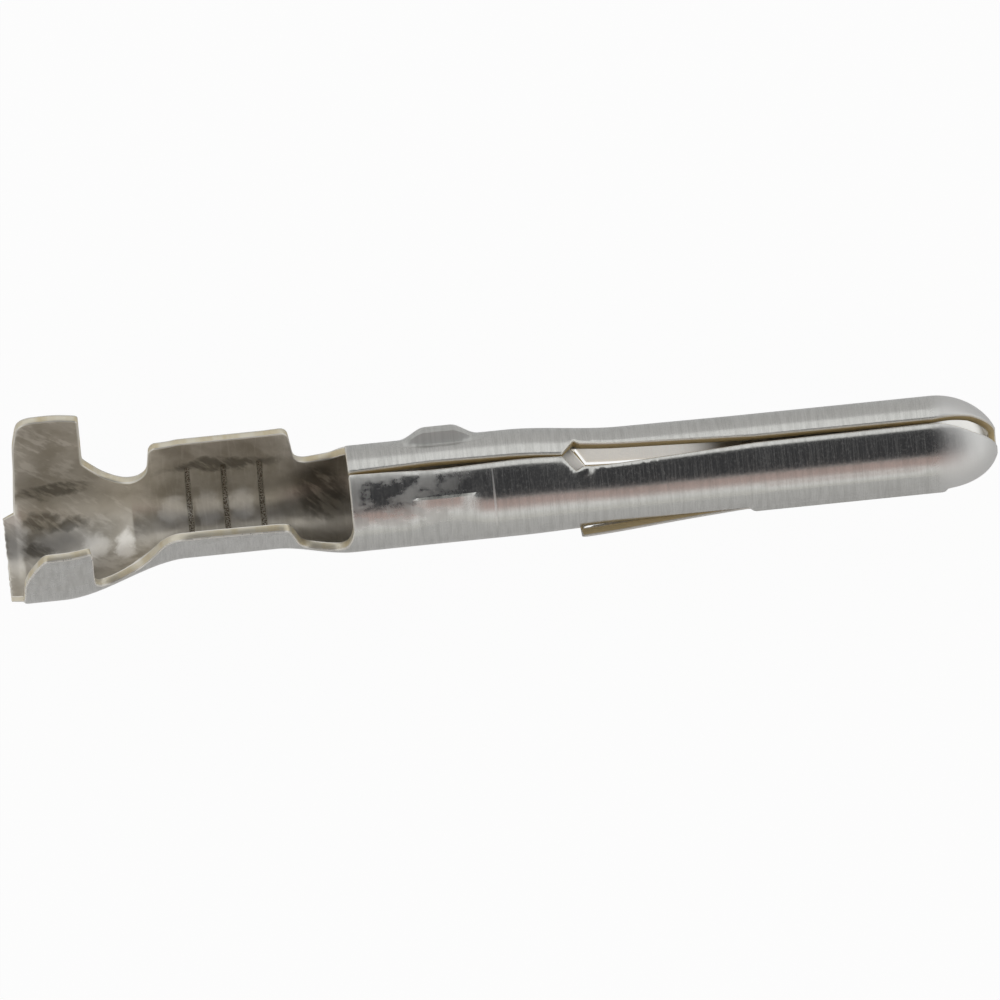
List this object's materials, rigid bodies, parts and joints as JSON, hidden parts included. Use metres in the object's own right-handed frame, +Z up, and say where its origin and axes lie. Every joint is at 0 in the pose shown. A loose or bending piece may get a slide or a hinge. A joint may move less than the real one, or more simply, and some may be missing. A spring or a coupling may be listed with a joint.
{
  "type": "crimp pin contact",
  "caption": "split pin contact with two locking lances, a rolled locking tube, a wire crimp barrel and an insulation crimp barrel, folded from one strip",
  "frame": {"origin": "under the middle of the contact as it lies, on the surface it lies on", "axes": "+X towards the nose, +Z up; the open side of the barrels faces up and towards -Y"},
  "size_m": [0.0225, 0.0042, 0.0044],
  "materials": {
    "tin_plate": "satin tin plating over brass"
  },
  "bodies": {
    "root": {"pin_contact": "tin_plate"}
  },
  "joints": []
}
